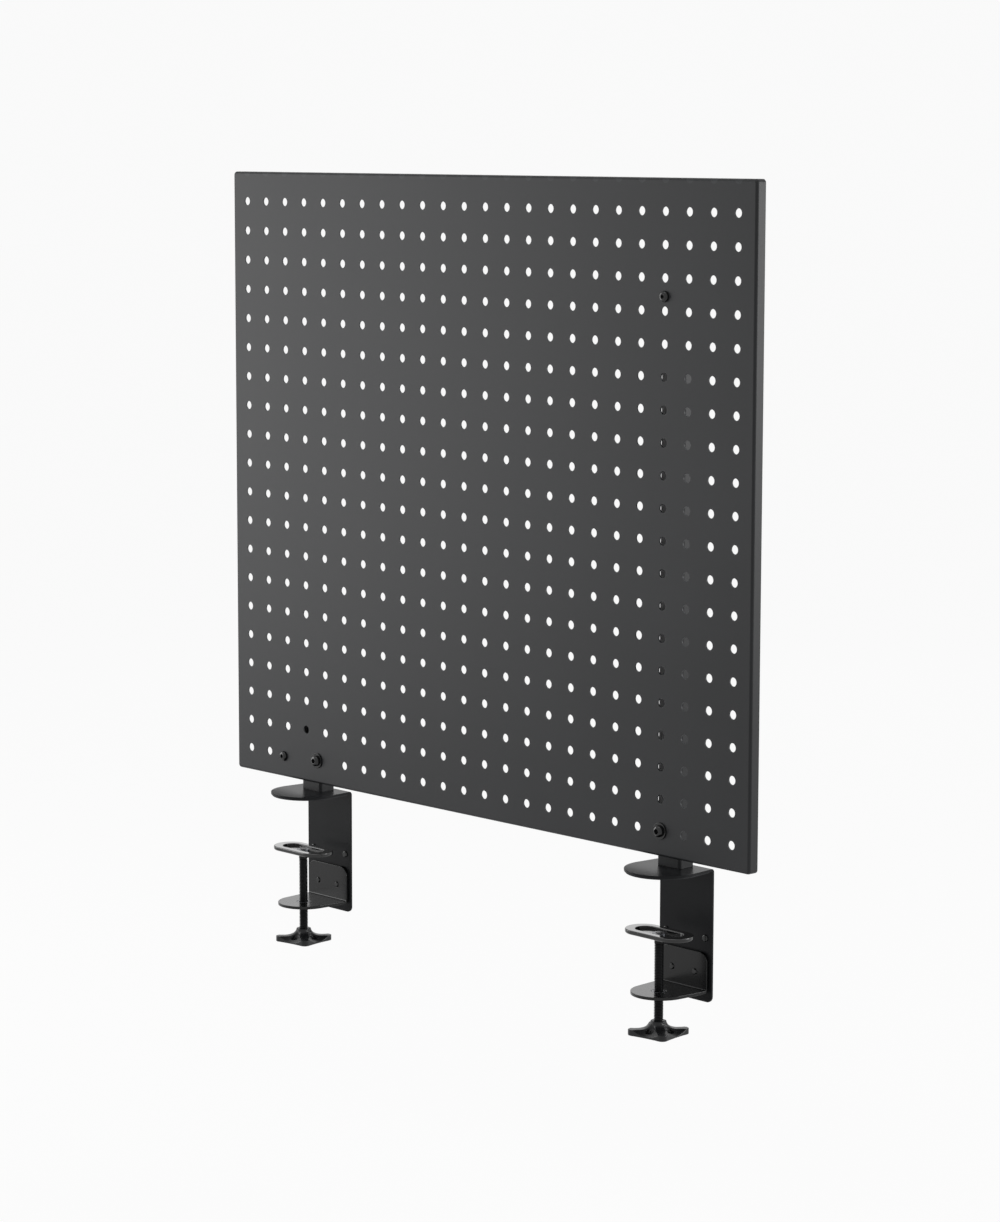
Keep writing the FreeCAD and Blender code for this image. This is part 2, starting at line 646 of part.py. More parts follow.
def lowerBracket(side, x):
    """The folded shelf that carries the clamp screw, with its screwed tab."""
    body = makeBody(side + "_lower_bracket", (x, "0", "Layout.shelfZ"))
    strip = makeSketch(body, "strip", "YZ_Plane")
    wall = "Sizes.bracketPlate"
    reach = "-Sizes.shelfReach"
    polygon(strip, [("0", "-" + wall), ("0", "Sizes.tabHeight"), ("-" + wall, "Sizes.tabHeight"),
                    ("-" + wall, "0"), (reach, "0"), (reach, "-" + wall)])
    pad(body, strip, "Sizes.bracketWidth", midplane=True)
    width, sheet = sizeOf("bracketWidth"), sizeOf("bracketPlate")
    fillet(body, "Layout.bracketFold", lambda box, edge: close(box.XLength, width)
           and close(box.YMin, 0) and close(box.ZMax, -sheet), "fold")
    fillet(body, "Sizes.bracketInnerBend",
           lambda box, edge: close(box.XLength, width)
           and close(box.YMin, -sheet) and close(box.ZMin, 0) and close(box.ZMax, 0), "fold_inside")

    trim = makeSketch(body, "trim", "XY_Plane")
    spare, front = "Sizes.bracketWidth", "2 * " + reach
    rear = "2 * Sizes.bracketPlate"
    polygon(trim, [("-" + spare, front), (spare, front), (spare, rear), ("-" + spare, rear)])
    tongueOutline(trim, "Sizes.bracketWidth / 2", wall,
                  "Sizes.shelfRadius - Sizes.shelfReach", "Sizes.shelfRadius")
    pocket(body, trim)

    top = sizeOf("tabHeight")
    fillet(body, "Sizes.tabCorner", lambda box, edge: close(box.YLength, sheet)
           and close(box.ZMin, top), "tab_corners")
    holes = makeSketch(body, "holes", "XZ_Plane")
    for sign in ("-", ""):
        circle(holes, (sign + "Sizes.bracketHoleSpacing / 2", "Sizes.bracketHoleHeight"),
               "Sizes.screwDiameter / 2 + Sizes.runningClearance")
    pocket(body, holes)
    seat = makeSketch(body, "insert_seat", "XY_Plane")
    circle(seat, ("0", "-Sizes.screwOffset"),
           "Sizes.insertDiameter / 2 + Sizes.runningClearance")
    pocket(body, seat)


def threadInsert(side, x):
    """The flanged bush pressed into the shelf, in which the clamp screw turns."""
    body = makeBody(side + "_thread_insert", (x, "-Sizes.screwOffset", "Layout.shelfZ"))
    half = makeSketch(body, "half", "XZ_Plane")
    bore = "Sizes.rodDiameter / 2 + Sizes.runningClearance"
    outer, rim = "Sizes.insertDiameter / 2", "Sizes.insertFlangeDiameter / 2"
    under = "-Sizes.bracketPlate"
    low = "-Sizes.bracketPlate - Sizes.insertFlange"
    polygon(half, [(bore, low), (rim, low), (rim, under), (outer, under), (outer, "0"),
                   (bore, "0")])
    revolve(body, half)


def bracketScrews(side, x):
    """Two screws from behind the back plate, whose ends show in the tab."""
    length = "Sizes.clampPlate + Sizes.bracketPlate + Sizes.screwTipOut"
    pair(side + "_bracket_screws", lambda name, shift: screw(
        name, "Sizes.screwHeadDiameter", "Sizes.screwHeadHeight", "Sizes.screwDiameter",
        length, "Sizes.screwSocket",
        ("%s + (%s)" % (x, shift), "Sizes.clampPlate", "Layout.bracketHoleZ"), False, True),
        "Sizes.bracketHoleSpacing / 2")


def plateRivet(name, place):
    """A domed rivet that fills one side hole of a back plate."""
    body = makeBody(name, place, False)
    profile = makeSketch(body, "profile", "XY_Plane")
    shank = "Sizes.sideHoleDiameter / 2 - Sizes.runningClearance"
    head, rise, through = "Sizes.rivetHead / 2", "-Sizes.rivetRise", "Sizes.clampPlate"
    polygon(profile, [("0", rise), (head, rise), (head, "0"), (shank, "0"),
                      (shank, through), ("0", through)])
    revolve(body, profile)
    size, top = numbers(profile, ("Sizes.rivetHead", rise))
    fillet(body, "Sizes.rivetRise * Sizes.domeShare",
           lambda box, edge: close(box.YMin, top) and close(box.YMax, top)
           and close(box.XLength, size), "dome")
    return body


def plateRivets(side, x):
    pair(side + "_plate_rivets", lambda name, shift: plateRivet(
        name, ("%s + (%s)" % (x, shift), "0", "Layout.sideHoleZ")),
        "Sizes.sideHoleSpacing / 2")


def clampScrew(side, x):
    """The screw: its lower end sits in the knob, its journal in the plate."""
    body = makeBody(side + "_clamp_screw", (x, "-Sizes.screwOffset", "0"))
    half = makeSketch(body, "half", "XZ_Plane")
    rod, journal = "Sizes.rodDiameter / 2", "Sizes.journalDiameter / 2"
    low = "Layout.hubTopZ - Sizes.rodSeat"
    shoulder = "Layout.pressBottomZ - Sizes.washerSeat - Sizes.thrustGap"
    tip = "Layout.recessFloorZ + Sizes.thrustGap + 1.5 * Sizes.clipThickness"
    chamfer = "Sizes.clipThickness / 2"
    polygon(half, [("0", low), (rod, low), (rod, shoulder), (journal, shoulder),
                   (journal, "%s - %s" % (tip, chamfer)),
                   ("%s - %s" % (journal, chamfer), tip), ("0", tip)])
    revolve(body, half)


def pressurePlate(side, x):
    """The long dished foot that bears on the underside of the desk."""
    body = makeBody(side + "_pressure_plate", (x, "-Sizes.screwOffset", "Layout.pressBottomZ"))
    plan = makeSketch(body, "plan", "XY_Plane")
    stadium(plan, "Sizes.pressLength", "Sizes.pressWidth")
    pad(body, plan, "Sizes.pressThickness")
    fillet(body, "Sizes.pressUnderRound",
           lambda box, edge: close(box.ZMin, 0) and close(box.ZMax, 0), "underside")
    top = sizeOf("pressThickness")
    fillet(body, "Sizes.pressRimRound",
           lambda box, edge: close(box.ZMin, top) and close(box.ZMax, top), "rim")
    recess = makeSketch(body, "recess", "XY_Plane", "Sizes.pressThickness")
    stadium(recess, "Sizes.recessLength", "Sizes.recessWidth")
    pocket(body, recess, "Sizes.recessDepth")
    bore = makeSketch(body, "bore", "XY_Plane")
    circle(bore, ("0", "0"), "Sizes.journalDiameter / 2 + Sizes.runningClearance")
    pocket(body, bore)


def aroundHub(body, cut, name):
    """Repeats a cut on the knob's four sides."""
    ring = body.newObject("PartDesign::PolarPattern", body.Name + name)
    ring.Originals = [cut]
    ring.Axis = (originItem(body, "Z_Axis"), [""])
    ring.Angle = 360
    ring.Occurrences = 4
    body.Tip = ring
    doc.recompute()


def screwKnob(side, x):
    """Four-cornered knob: its corners sweep up to the hub as arms, with a hollow
    between each two arms."""
    body = makeBody(side + "_screw_knob", (x, "-Sizes.screwOffset", "-Sizes.knobBottom"))
    body.setExpression(".Placement.Rotation.Angle", "Sizes.knobTurn")
    plan = makeSketch(body, "plan", "XY_Plane")
    half = "Sizes.knobAcross / 2"
    polygon(plan, [("-" + half, "-" + half), (half, "-" + half), (half, half),
                   ("-" + half, half)])
    pad(body, plan, "Sizes.hubHeight")
    height = sizeOf("hubHeight")
    fillet(body, "Sizes.knobLobe", lambda box, edge: close(box.ZLength, height), "lobes")

    # one hollow flank, repeated round the knob
    chord = "(Sizes.knobAcross / 2 - Sizes.knobLobe)"
    hollow = "((%s ^ 2 + Sizes.knobWaist ^ 2) / (2 * Sizes.knobWaist))" % chord
    waist = makeSketch(body, "waist", "XY_Plane")
    circle(waist, ("0", "Sizes.knobAcross / 2 + %s - Sizes.knobWaist" % hollow), hollow)
    aroundHub(body, pocket(body, waist), "_flanks")

    sweep = makeSketch(body, "sweep", "XZ_Plane")
    hub, corner = "Sizes.hubDiameter / 2", "Sizes.knobAcross / sqrt(2)"
    base, top, above = "Sizes.knobRim", "Sizes.hubHeight", "2 * Sizes.hubHeight"
    polygon(sweep, [(corner, base), (corner, above), (hub, above), (hub, top)],
            arcs={3: "Sizes.knobSweep"})
    revolve(body, sweep, cut=True)

    pit = makeSketch(body, "pit", "XY_Plane", "Sizes.hubHeight")
    circle(pit, ("0", "Sizes.pocketReach"), "Sizes.pocketDiameter / 2")
    aroundHub(body, pocket(body, pit, "Sizes.hubHeight - Sizes.pocketFloor"), "_pits")
    seat = makeSketch(body, "rod_seat", "XY_Plane", "Sizes.hubHeight")
    circle(seat, ("0", "0"), "Sizes.rodDiameter / 2 + Sizes.runningClearance")
    pocket(body, seat, "Sizes.rodSeat")


def leftFasteners():
    face = "-Sizes.panelSetback"
    boltX, boltZ = "Layout.leftBoltX", "Layout.bottomRowZ"
    screwX = "Layout.leftScrewX"
    screwZ = "Layout.bottomRowZ - Sizes.leftScrewSink"
    gap = "Sizes.panelDepth - Sizes.headPlate - Sizes.panelSheet"
    through = "Sizes.panelDepth - Sizes.thrustGap"
    panelBolt("left", boltX, boltZ, "Sizes.washerThickness + " + through)
    ring("left_bolt_spacer", "Sizes.spacerDiameter",
         "Sizes.boltDiameter + 2 * Sizes.shankClearance", gap,
         (boltX, "Layout.panelBackY", boltZ), alongY=True)
    screw("left_corner_screw", "Sizes.screwHeadDiameter", "Sizes.screwHeadHeight",
          "Sizes.screwDiameter", through, "Sizes.screwSocket", (screwX, face, screwZ))
    ring("left_screw_spacer", "Sizes.screwHeadDiameter",
         "Sizes.screwDiameter + 2 * Sizes.shankClearance", gap,
         (screwX, "Layout.panelBackY", screwZ), alongY=True)


def rightFasteners():
    face = "-Sizes.panelSetback"
    x, boltZ, topZ = "Layout.clampX", "Layout.bottomRowZ", "Layout.topScrewZ"
    gap = "Sizes.panelDepth - Sizes.panelSheet"
    web = "Sizes.panelDepth + Sizes.uprightSheet"
    behind = "Layout.uprightY + Sizes.uprightSheet"
    panelBolt("right", x, boltZ,
              "Sizes.washerThickness + " + web + " + Sizes.boltNutHeight + Sizes.threadOut")
    ring("right_bolt_spacer", "Sizes.spacerDiameter",
         "Sizes.boltDiameter + 2 * Sizes.shankClearance", gap,
         (x, "Layout.panelBackY", boltZ), alongY=True)
    nut("right_bolt_nut", "Sizes.boltNutFlats", "Sizes.boltNutHeight", "Sizes.boltDiameter",
        (x, behind, boltZ))
    screw("right_top_screw", "Sizes.screwHeadDiameter", "Sizes.screwHeadHeight",
          "Sizes.screwDiameter", web + " + Sizes.screwNutHeight + Sizes.threadOut",
          "Sizes.screwSocket", (x, face, topZ))
    ring("right_top_spacer", "Sizes.screwHeadDiameter",
         "Sizes.screwDiameter + 2 * Sizes.shankClearance", gap,
         (x, "Layout.panelBackY", topZ), alongY=True)
    nut("right_top_nut", "Sizes.screwNutFlats", "Sizes.screwNutHeight", "Sizes.screwDiameter",
        (x, behind, topZ))


def panelBolt(side, x, z, shankLength):
    """A button-head bolt with the broad washer under its head."""
    seat = "-Sizes.panelSetback - Sizes.washerThickness"
    screw(side + "_panel_bolt", "Sizes.boltHeadDiameter", "Sizes.boltHeadHeight",
          "Sizes.boltDiameter", shankLength, "Sizes.boltSocket", (x, seat, z))
    ring(side + "_panel_washer", "Sizes.washerDiameter",
         "Sizes.boltDiameter + 2 * Sizes.shankClearance", "Sizes.washerThickness",
         (x, seat, z), alongY=True)


pegboardPanel()
for side, clampPlace in (("left", "Layout.leftClampX"), ("right", "Layout.clampX")):
    clampFrame(side, clampPlace)
    jawPad(side, clampPlace)
    upright(side, clampPlace)
    lowerBracket(side, clampPlace)
    threadInsert(side, clampPlace)
    bracketScrews(side, clampPlace)
    plateRivets(side, clampPlace)
    clampScrew(side, clampPlace)
    pressurePlate(side, clampPlace)
    screwKnob(side, clampPlace)
    ring(side + "_thrust_washer", "Sizes.washerSeatDiameter",
         "Sizes.journalDiameter + 2 * Sizes.runningClearance", "Sizes.washerSeat",
         (clampPlace, "-Sizes.screwOffset", "Layout.pressBottomZ - Sizes.washerSeat"))
    ring(side + "_retaining_clip", "Sizes.clipDiameter",
         "Sizes.journalDiameter + 2 * Sizes.runningClearance", "Sizes.clipThickness",
         (clampPlace, "-Sizes.screwOffset", "Layout.recessFloorZ + Sizes.thrustGap"))
headPlate("Layout.leftClampX")
leftFasteners()
rightFasteners()
doc.recompute()

for item in doc.Objects:
    if "Invalid" in item.State or "Error" in item.State:
        raise RuntimeError(item.Name + " failed")

pairedNodes = 2
os.makedirs("parts", exist_ok=True)
for node in nodes:
    shape = node.Shape
    wanted = pairedNodes if node.TypeId == "Part::Compound" else 1
    if shape.isNull() or not shape.isValid() or len(shape.Solids) != wanted:
        raise RuntimeError(node.Label + " has no sound shape")
    shape.exportStep(os.path.join("parts", node.Label + ".step"))
print(len(nodes), "sub-parts written")
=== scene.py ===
import json
import math

import bpy
from mathutils import Matrix, Vector

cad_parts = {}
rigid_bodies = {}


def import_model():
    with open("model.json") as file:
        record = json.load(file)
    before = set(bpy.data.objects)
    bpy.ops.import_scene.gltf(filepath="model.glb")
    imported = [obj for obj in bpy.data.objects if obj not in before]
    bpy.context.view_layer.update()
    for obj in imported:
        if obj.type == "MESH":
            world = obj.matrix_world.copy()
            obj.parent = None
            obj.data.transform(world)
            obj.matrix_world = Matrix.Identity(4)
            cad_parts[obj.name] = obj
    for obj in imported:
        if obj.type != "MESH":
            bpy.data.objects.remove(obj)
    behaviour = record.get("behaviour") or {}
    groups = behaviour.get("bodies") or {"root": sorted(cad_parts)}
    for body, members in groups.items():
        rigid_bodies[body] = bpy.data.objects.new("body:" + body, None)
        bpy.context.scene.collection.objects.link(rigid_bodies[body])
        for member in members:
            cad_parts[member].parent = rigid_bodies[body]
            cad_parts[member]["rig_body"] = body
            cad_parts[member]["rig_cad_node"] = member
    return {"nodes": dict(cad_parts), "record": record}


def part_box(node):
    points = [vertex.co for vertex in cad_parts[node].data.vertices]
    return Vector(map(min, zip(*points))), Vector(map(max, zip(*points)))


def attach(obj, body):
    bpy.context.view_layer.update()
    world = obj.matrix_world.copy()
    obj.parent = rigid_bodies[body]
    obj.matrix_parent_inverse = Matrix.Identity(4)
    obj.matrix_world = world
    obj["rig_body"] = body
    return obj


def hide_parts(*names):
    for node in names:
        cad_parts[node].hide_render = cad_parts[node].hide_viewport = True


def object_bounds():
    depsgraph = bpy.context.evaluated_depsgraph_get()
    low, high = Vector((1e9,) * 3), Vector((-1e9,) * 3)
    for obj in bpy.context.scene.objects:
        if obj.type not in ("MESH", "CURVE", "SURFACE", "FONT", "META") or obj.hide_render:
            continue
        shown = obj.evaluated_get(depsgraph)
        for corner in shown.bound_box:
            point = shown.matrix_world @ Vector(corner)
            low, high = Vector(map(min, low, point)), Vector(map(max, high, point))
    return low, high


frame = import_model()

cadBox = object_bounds()
nodes = frame["nodes"]
print("frame loaded:", len(nodes), "nodes")


class Wire:
    # one output socket; arithmetic on it adds the Math nodes it needs
    def __init__(self, tree, socket=None):
        self.tree = tree
        self.socket = socket

    def node(self, kind, settings=None, sockets=None, output=0):
        made = self.tree.nodes.new(kind)
        for name, value in (settings or {}).items():
            setattr(made, name, value)
        for name, value in (sockets or {}).items():
            if isinstance(value, Wire):
                self.tree.links.new(value.socket, made.inputs[name])
            else:
                made.inputs[name].default_value = value
        return Wire(self.tree, made.outputs[output])

    def maths(self, operation, first, second=0.0):
        return self.node("ShaderNodeMath", {"operation": operation}, {0: first, 1: second})

    def __add__(self, other):
        return self.maths("ADD", self, other)

    __radd__ = __add__

    def __sub__(self, other):
        return self.maths("SUBTRACT", self, other)

    def __rsub__(self, other):
        return self.maths("SUBTRACT", other, self)

    def __mul__(self, other):
        return self.maths("MULTIPLY", self, other)

    def __truediv__(self, other):
        return self.maths("DIVIDE", self, other)

    def __gt__(self, other):
        return self.maths("GREATER_THAN", self, other)

    def __lt__(self, other):
        return self.maths("LESS_THAN", self, other)


def smooth(wire, low, high):
    # 0 below low, 1 above high, and soft between
    return wire.node("ShaderNodeMapRange", {"interpolation_type": "SMOOTHSTEP"},
                     {"Value": wire, "From Min": low, "From Max": high})


def noise(wire, place, scale, detail=2.0, roughness=0.5):
    return wire.node("ShaderNodeTexNoise", None,
                     {"Vector": place, "Scale": scale, "Detail": detail, "Roughness": roughness})


def along(wire, place, axis):
    return wire.node("ShaderNodeSeparateXYZ", None, {0: place}, output=axis)


def blendColour(wire, factor, first, second):
    return wire.node("ShaderNodeMix", {"data_type": "RGBA"},
                     {0: factor, 6: first, 7: second}, output=2)


blueLean = 0.045     # the coats and plastics all lean a little towards blue


def grey(level, cool=0.0):
    return (level * (1 - cool), level, level * (1 + 2 * cool), 1)


def black(level):
    return grey(level, blueLean)


def newMaterial(name, shader):
    # a principled material; shader holds the values that stay the same all over
    material = bpy.data.materials.new(name)
    material.use_nodes = True
    principled = material.node_tree.nodes["Principled BSDF"]
    for socket, value in shader.items():
        principled.inputs[socket].default_value = value
    wire = Wire(material.node_tree)
    place = wire.node("ShaderNodeTexCoord", output="Object")
    return material, wire, place, principled


def connect(wires, principled):
    for socket, wire in wires.items():
        wire.tree.links.new(wire.socket, principled.inputs[socket])


toneEdges = (0.35, 0.65)     # noise under the first is one tone, over the second the other

powderCoat = {
    "tone": 0.0150, "paler": 0.0195, "rough": 0.44, "roughSpread": 0.06, "specular": 0.24,
    "waves": 9.0, "waveShare": 0.7,     # slow drift of the tone
    "grain": 900.0, "speckShare": 0.3, "specks": 0.6,
    "finer": 3.1, "coarseHeight": 0.7, "fineHeight": 0.3, "bump": 0.14, "lift": 0.00005,
    "rimWorn": 0.55, "rimPaler": 2.2, "rimDrop": 1.6,
    "thin": 0.50,     # painted light: a pale grey that stands in for light in the shaded gap behind the panel
}


def makePowderCoat(name, settings, edge=None, paintedLightMask=None):
    material, wire, place, principled = newMaterial(
        name, {"Specular IOR Level": settings["specular"]})
    drift = noise(wire, place, settings["waves"], detail=3.0)
    speck = noise(wire, place, settings["grain"], roughness=settings["specks"])
    fine = noise(wire, place, settings["grain"] * settings["finer"], detail=1.0)
    tone = smooth(drift * settings["waveShare"] + speck * settings["speckShare"], *toneEdges)
    colour = blendColour(wire, tone, black(settings["tone"]), black(settings["paler"]))
    rough = settings["rough"] + (drift - 0.5) * settings["roughSpread"] \
        + (speck - 0.5) * settings["roughSpread"]
    height = speck * settings["coarseHeight"] + fine * settings["fineHeight"]
    if edge:
        # the coat draws back from each punched edge; the paler ring there is partly a worn rim
        # and partly a painted highlight on the rounded edge
        rim = edge(wire, place)
        colour = blendColour(wire, rim * settings["rimWorn"], colour,
                             black(settings["paler"] * settings["rimPaler"]))
        height = height - rim * settings["rimDrop"]
    if paintedLightMask:
        # painted light: paler where the panel stands in front of the web, so the shaded gap
        # reads near the panel's tone; seen only through the peg holes
        colour = blendColour(wire, paintedLightMask(wire, place), colour, grey(settings["thin"]))
    bump = wire.node("ShaderNodeBump", None, {"Strength": settings["bump"],
                                             "Distance": settings["lift"], "Height": height})
    connect({"Base Color": colour, "Roughness": rough, "Normal": bump}, principled)
    return material


panelFace = {"pitch": 0.0254, "hole": 0.0036, "rim": 0.0007, "bottomRow": 0.0334,
             "blankFrom": -0.2480, "blankTo": -0.1840, "depth": 0.002}


def pegRims(wire, place):
    # 1 in a narrow ring round each peg hole, from the pitch alone
    across = along(wire, place, "X")
    upward = along(wire, place, "Z")
    depth = along(wire, place, "Y")
    pitch = panelFace["pitch"]

    def offset(distance):
        turns = distance / pitch
        return (turns.maths("FRACT", turns) - 0.5) * pitch

    sideways = offset(across)
    height = offset(upward - panelFace["bottomRow"] + pitch / 2)
    far = wire.maths("SQRT", sideways * sideways + height * height)
    ring = 1 - smooth(far, panelFace["hole"], panelFace["hole"] + panelFace["rim"])
    blank = (across > panelFace["blankFrom"]) * (across < panelFace["blankTo"]) \
        * (upward < panelFace["bottomRow"] + pitch / 2)
    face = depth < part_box("pegboard_panel")[0].y + panelFace["depth"]
    return ring * (1 - blank) * face


web = {"inFromSide": 0.0022, "behindPanel": 0.0004, "abovePanelEdge": 0.008}


def underPanel(wire, place):
    # 1 on the tall upright's web where the panel stands in front of it, the mask of the painted
    # light there
    depth = along(wire, place, "Y")
    height = along(wire, place, "Z")
    across = along(wire, place, "X")
    low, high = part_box("pegboard_panel")
    left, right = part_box("right_upright")
    middle = (left.x + right.x) / 2
    inside = wire.maths("ABSOLUTE", across - middle) \
        < (right.x - left.x) / 2 - web["inFromSide"]
    return (depth < high.y + web["behindPanel"]) \
        * (height > low.z + web["abovePanelEdge"]) * inside


satinLook = {"waves": 24.0, "waveShare": 0.6, "speckShare": 0.4, "specks": 0.6,
             "roughSpecks": 0.5, "rimFrom": 0.0007, "rimTo": 0.0001}
satins = {
    "clampCoat": {"tone": 0.0105, "paler": 0.0140, "rough": 0.34, "spread": 0.05,
                  "grain": 700.0, "bump": 0.08, "lift": 0.00003, "specular": 0.09},
    "bracketCoat": {"tone": 0.0032, "paler": 0.0050, "rough": 0.22, "spread": 0.05,
                    "grain": 700.0, "bump": 0.08, "lift": 0.00003, "specular": 0.30},
    "glossCoat": {"tone": 0.0045, "paler": 0.0065, "rough": 0.10, "spread": 0.03,
                  "grain": 420.0, "bump": 0.05, "lift": 0.00002, "specular": 0.50,
                  # rim: the pale grey of the painted highlight on the pressed rim's top
                  "rim": 0.13},
    "blackScrew": {"tone": 0.0040, "paler": 0.0070, "rough": 0.10, "spread": 0.04,
                   "grain": 1500.0, "bump": 0.06, "lift": 0.00002, "specular": 0.42},
    "turnedSteel": {"tone": 0.0050, "paler": 0.0090, "rough": 0.32, "spread": 0.08,
                    "grain": 1800.0, "bump": 0.12, "lift": 0.00002, "specular": 0.16},
    "zincSteel": {"tone": 0.10, "paler": 0.15, "rough": 0.34, "spread": 0.10,
                  "grain": 1400.0, "bump": 0.12, "lift": 0.00002, "specular": 0.50,
                  "metallic": 1.0},
    "padRubber": {"tone": 0.0160, "paler": 0.0220, "rough": 0.72, "spread": 0.08,
                  "grain": 1600.0, "bump": 0.35, "lift": 0.00008, "specular": 0.30},
    "knobPlastic": {"tone": 0.0085, "paler": 0.0115, "rough": 0.35, "spread": 0.06,
                    "grain": 1300.0, "bump": 0.18, "lift": 0.00003, "specular": 0.30},
}


def makeSatin(name, settings):
    material, wire, place, principled = newMaterial(
        name, {"Specular IOR Level": settings["specular"],
               "Metallic": settings.get("metallic", 0.0)})
    drift = noise(wire, place, satinLook["waves"], detail=3.0)
    speck = noise(wire, place, settings["grain"], roughness=satinLook["specks"])
    tone = smooth(drift * satinLook["waveShare"] + speck * satinLook["speckShare"], *toneEdges)
    colour = blendColour(wire, tone, black(settings["tone"]), black(settings["paler"]))
    rough = settings["rough"] + (drift - 0.5) * settings["spread"] \
        + (speck - 0.5) * settings["spread"] * satinLook["roughSpecks"]
    bump = wire.node("ShaderNodeBump", None, {"Strength": settings["bump"],
                                             "Distance": settings["lift"], "Height": speck})
    sockets = {"Base Color": colour, "Roughness": rough, "Normal": bump}
    if "rim" in settings:
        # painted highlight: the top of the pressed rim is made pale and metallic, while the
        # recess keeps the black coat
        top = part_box("left_pressure_plate")[1].z
        rimHighlight = smooth(along(wire, place, "Z"),
                        top - satinLook["rimFrom"], top - satinLook["rimTo"])
        sockets["Metallic"] = rimHighlight
        sockets["Base Color"] = blendColour(wire, rimHighlight, colour, grey(settings["rim"]))
    connect(sockets, principled)
    return material


coats = {"panelCoat": makePowderCoat("panelCoat", powderCoat, edge=pegRims),
         "steelCoat": makePowderCoat("steelCoat", powderCoat, paintedLightMask=underPanel)}
for name in satins:
    coats[name] = makeSatin(name, satins[name])

# a node takes the coat of the longest ending that fits its name
finishes = {
    "pegboard_panel": "panelCoat", "upright": "steelCoat", "head_plate": "steelCoat",
    "clamp_frame": "clampCoat", "lower_bracket": "bracketCoat", "pressure_plate": "glossCoat",
    "clamp_screw": "turnedSteel", "thread_insert": "zincSteel", "retaining_clip": "zincSteel",
    "jaw_pad": "padRubber", "screw_knob": "knobPlastic", "thrust_washer": "blackScrew",
    "bolt": "blackScrew", "screw": "blackScrew", "screws": "blackScrew",
    "rivets": "blackScrew", "nut": "blackScrew", "washer": "blackScrew",
    "spacer": "blackScrew",
}


def finishFor(name):
    endings = [ending for ending in finishes if name.endswith(ending)]
    return coats[finishes[max(endings, key=len)]]


def dress(piece, finish):
    for slot in piece.material_slots:
        slot.material = finish
    if not piece.material_slots:
        piece.data.materials.append(finish)


for name, item in nodes.items():
    dress(item, finishFor(name))
print("finishes given")

bodyOf = {node: body for body, members in frame["record"]["behaviour"]["bodies"].items()
          for node in members}


def pick(piece):
    bpy.ops.object.select_all(action="DESELECT")
    piece.select_set(True)
    bpy.context.view_layer.objects.active = piece


def settle(piece, node):
    # the piece takes the node's place, body and finish, and the node is hidden
    dress(piece, finishFor(node))
    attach(piece, bodyOf[node])
    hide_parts(node)


def pieceName(node, ending):
    words = node.split("_")
    return words[0] + "".join(word.capitalize() for word in words[1:]) + ending


def keepPlace(piece):
    # leaves the object at the origin, with its place in its mesh
    pick(piece)
    bpy.ops.object.transform_apply(location=True, rotation=True, scale=True)


# how far the edges of each piece are rounded
edges = {
    "clamp_frame": 0.00035, "lower_bracket": 0.00035, "upright": 0.0003, "head_plate": 0.0003,
    "jaw_pad": 0.0003, "pressure_plate": 0.00025, "panel_bolt": 0.0002, "panel_washer": 0.0002,
    "corner_screw": 0.0002, "top_screw": 0.0002, "bracket_screws": 0.00075,
    "plate_rivets": 0.00015, "bolt_nut": 0.0003, "top_nut": 0.0003, "thrust_washer": 0.0003,
    "thread_insert": 0.0002,
}
edgeLook = {"sharpFrom": math.radians(38), "smoothTo": math.radians(40), "segments": 3,
            "flatWithin": math.radians(1), "merge": 0.000002}


def copyNode(node, ending):
    # a merged copy of a node's mesh, to be worked on
    piece = nodes[node].copy()
    piece.data = nodes[node].data.copy()
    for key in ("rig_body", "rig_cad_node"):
        del piece[key]
    piece.parent = None
    piece.name = pieceName(node, ending)
    bpy.context.scene.collection.objects.link(piece)
    pick(piece)
    bpy.ops.object.mode_set(mode="EDIT")
    bpy.ops.mesh.select_mode(type="EDGE")
    bpy.ops.mesh.select_all(action="SELECT")
    bpy.ops.mesh.remove_doubles(threshold=edgeLook["merge"])
    bpy.ops.mesh.dissolve_limited(angle_limit=edgeLook["flatWithin"])
    bpy.ops.mesh.select_all(action="DESELECT")
    bpy.ops.object.mode_set(mode="OBJECT")
    return piece


def bevelSharp(piece, width):
    pick(piece)
    bpy.ops.object.mode_set(mode="EDIT")
    bpy.ops.mesh.select_mode(type="EDGE")
    bpy.ops.mesh.select_all(action="DESELECT")
    bpy.ops.mesh.edges_select_sharp(sharpness=edgeLook["sharpFrom"])
    bpy.ops.mesh.bevel(offset=width, segments=edgeLook["segments"], affect="EDGES",
                       clamp_overlap=True)
    bpy.ops.object.mode_set(mode="OBJECT")


def applyModifier(piece, kind, settings):
    made = piece.modifiers.new(kind.lower(), kind)
    for name, value in settings.items():
        setattr(made, name, value)
    pick(piece)
    bpy.ops.object.modifier_apply(modifier=made.name)


def combine(piece, operation, other):
    applyModifier(piece, "BOOLEAN", {"operation": operation, "object": other,
                                     "solver": "EXACT"})
    bpy.data.objects.remove(other)


def shade(piece):
    # rounds shade softly and the faces between them stay flat
    pick(piece)
    bpy.ops.object.shade_smooth_by_angle(angle=edgeLook["smoothTo"])
    applyModifier(piece, "WEIGHTED_NORMAL", {"weight": 100, "keep_sharp": True})


mouth = {"across": 0.0232, "deep": 0.0087, "level": 0.00002, "round": 0.0010, "segments": 5}


def rollMouth(piece, node):
    # the mouth of the recess is rolled over more than the outer edge
    low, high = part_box(node)
    middle = (low + high) / 2

    def onMouth(point):
        return abs(point.z - high.z) < mouth["level"] \
            and abs(point.y - middle.y) < mouth["deep"] \
            and abs(point.x - middle.x) < mouth["across"]

    mesh = piece.data
    for edge in mesh.edges:
        edge.select = all(onMouth(mesh.vertices[i].co) for i in edge.vertices)
    bpy.ops.object.mode_set(mode="EDIT")
    bpy.ops.mesh.bevel(offset=mouth["round"], segments=mouth["segments"], affect="EDGES")
    bpy.ops.object.mode_set(mode="OBJECT")


foot = {"from": 0.0024, "to": 0.0118, "height": 0.0056}


